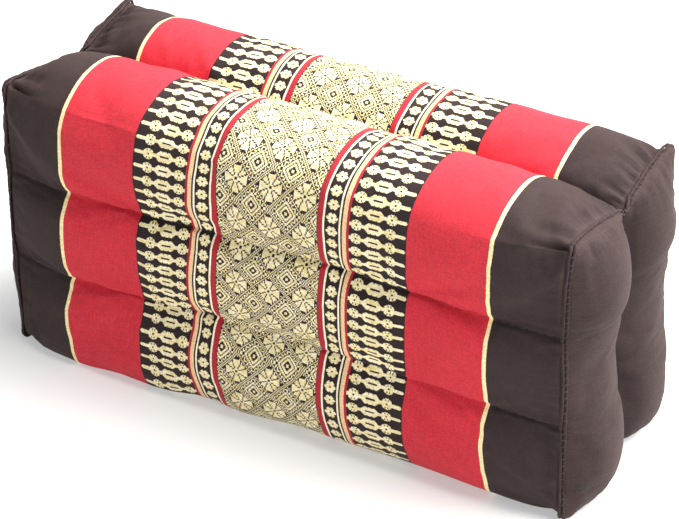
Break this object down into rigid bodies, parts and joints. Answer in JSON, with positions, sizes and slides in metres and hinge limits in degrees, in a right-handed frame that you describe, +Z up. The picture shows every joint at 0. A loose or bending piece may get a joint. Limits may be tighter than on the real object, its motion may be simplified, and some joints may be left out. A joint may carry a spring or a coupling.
{
  "type": "zafu block cushion",
  "caption": "Firm filled block cushion for sitting meditation and yoga, channel-sewn patterned wrap with plain sewn-in end panels.",
  "frame": {"origin": "on the surface that the cushion stands on, under the middle of its box", "axes": "+X along the cushion's length, the pictured front faces -Y, +Z up; the cushion stands on its long narrow side"},
  "size_m": [0.3826, 0.145, 0.1805],
  "materials": {
    "patterned_cloth": "matte woven cotton",
    "plain_cloth": "matte woven cotton"
  },
  "bodies": {
    "root": {"filled_wrap": "patterned_cloth", "end_panel_left": "plain_cloth", "end_panel_right": "plain_cloth"}
  },
  "joints": []
}
